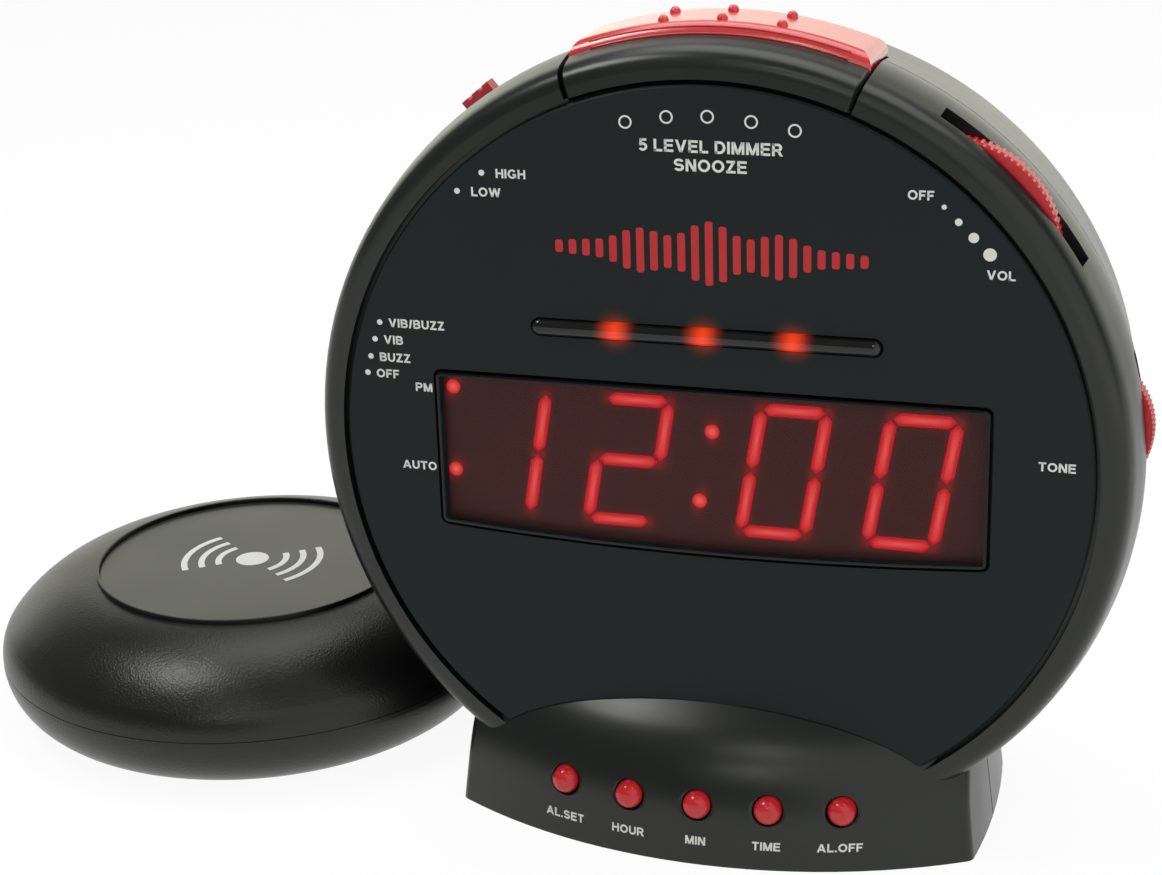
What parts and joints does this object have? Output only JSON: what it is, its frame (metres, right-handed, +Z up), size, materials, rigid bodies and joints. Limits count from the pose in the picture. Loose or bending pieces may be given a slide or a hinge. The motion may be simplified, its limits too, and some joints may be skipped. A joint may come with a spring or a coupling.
{
  "type": "bed shaker alarm clock",
  "caption": "Round desk alarm clock on a control foot, with a lit display, snooze bar, thumb wheels, slide tabs and push buttons, and a separate round shaker for under a pillow.",
  "frame": {"origin": "on the floor, straight under the middle of the clock's face", "axes": "+Z up, the face looks along -Y, +X to the viewer's right"},
  "size_m": [0.2337, 0.1058, 0.1483],
  "materials": {
    "case": "fine satin charcoal",
    "face": "satin charcoal",
    "red": "translucent red, soft gloss",
    "smoked_lens": "smoked red",
    "clear_lens": "clear",
    "display_black": "black",
    "glow_red": "glowing red",
    "glow_dot": "glowing red",
    "segment_dark": "unlit",
    "lamp": "lit lamp",
    "board": "green board",
    "component_black": "black",
    "steel": "plated",
    "cone": "paper cone",
    "magnet": "ferrite",
    "base": "matte charcoal",
    "contact": "plated",
    "rubber": "matte",
    "shaker_shell": "satin near-black",
    "label": "matte grey",
    "weight": "turned"
  },
  "bodies": {
    "clock": {"front_case": "case", "rear_case": "case", "face_plate": "face", "display_lens": "smoked_lens", "light_bar_lens": "clear_lens", "display_module": "display_black", "lit_segments": "glow_red", "display_dots": "glow_dot", "dark_segments": "segment_dark", "alert_lamps": "lamp", "main_board": "board", "key_board": "board", "alert_lamp_strip": "board", "board_components": "component_black", "key_switches": "component_black", "snooze_switch": "component_black", "level_switch": "component_black", "mode_switch": "component_black", "volume_pot": "component_black", "tone_pot": "component_black", "power_socket": "component_black", "shaker_socket": "component_black", "case_screws": "steel", "board_screws": "steel", "key_board_screws": "steel", "base_screws": "steel", "speaker_frame": "steel", "speaker_cone": "cone", "speaker_magnet": "magnet", "base_plate": "base", "battery_bay": "base", "battery_snap": "contact", "grip_pads": "rubber"},
    "snooze": {"snooze_front": "case", "snooze_bar": "red"},
    "volume": {"volume_wheel": "red"},
    "tone": {"tone_wheel": "red"},
    "level": {"level_slider": "red"},
    "mode": {"mode_slider": "red"},
    "door": {"battery_door": "base"},
    "shaker": {"shaker_upper_shell": "shaker_shell", "shaker_lower_shell": "shaker_shell", "shaker_label": "label", "shaker_gland": "rubber", "shaker_motor": "steel", "motor_cradle": "shaker_shell", "motor_strap": "steel", "shaker_screws": "steel"},
    "rotor": {"shaker_shaft": "steel", "shaker_weight": "weight"},
    "alarm_set_key": {"alarm_set_button": "red"},
    "hour_key": {"hour_button": "red"},
    "minute_key": {"minute_button": "red"},
    "time_key": {"time_button": "red"},
    "alarm_off_key": {"alarm_off_button": "red"}
  },
  "joints": [
    {"name": "snooze_press", "type": "slide", "parent": "clock", "child": "snooze", "axis": [0, 0, -1], "range_m": [0, 0.0005], "stiffness_N_per_m": 1500, "springref_m": -0.0006},
    {"name": "volume_turn", "type": "hinge", "parent": "clock", "child": "volume", "pos_m": [0.03998, 0.0069, 0.11129], "axis": [0, 1, 0], "range_deg": [-40, 230]},
    {"name": "tone_turn", "type": "hinge", "parent": "clock", "child": "tone", "pos_m": [0.0613, 0.0149, 0.07898], "axis": [0, 1, 0], "range_deg": [-135, 135]},
    {"name": "level_slide", "type": "slide", "parent": "clock", "child": "level", "axis": [-0.7677, 0, -0.6408], "range_m": [0, 0.0035]},
    {"name": "mode_slide", "type": "slide", "parent": "clock", "child": "mode", "axis": [-0.2756, 0, -0.9613], "range_m": [0, 0.0102]},
    {"name": "door_slide", "type": "slide", "parent": "clock", "child": "door", "axis": [0, 1, 0], "range_m": [0, 0.03]},
    {"name": "shaker_lift", "type": "slide", "parent": "clock", "child": "shaker", "axis": [-0.7071, 0, 0.7071], "range_m": [0, 0.15]},
    {"name": "rotor_spin", "type": "hinge", "parent": "shaker", "child": "rotor", "pos_m": [-0.1067, 0.0373, 0.0132], "axis": [1, 0, 0], "continuous": true},
    {"name": "alarm_set_key_press", "type": "slide", "parent": "clock", "child": "alarm_set_key", "axis": [0, 1, 0], "range_m": [0, 0.0006], "stiffness_N_per_m": 800, "springref_m": -0.0005},
    {"name": "hour_key_press", "type": "slide", "parent": "clock", "child": "hour_key", "axis": [0, 1, 0], "range_m": [0, 0.0006], "stiffness_N_per_m": 800, "springref_m": -0.0005},
    {"name": "minute_key_press", "type": "slide", "parent": "clock", "child": "minute_key", "axis": [0, 1, 0], "range_m": [0, 0.0006], "stiffness_N_per_m": 800, "springref_m": -0.0005},
    {"name": "time_key_press", "type": "slide", "parent": "clock", "child": "time_key", "axis": [0, 1, 0], "range_m": [0, 0.0006], "stiffness_N_per_m": 800, "springref_m": -0.0005},
    {"name": "alarm_off_key_press", "type": "slide", "parent": "clock", "child": "alarm_off_key", "axis": [0, 1, 0], "range_m": [0, 0.0006], "stiffness_N_per_m": 800, "springref_m": -0.0005}
  ]
}
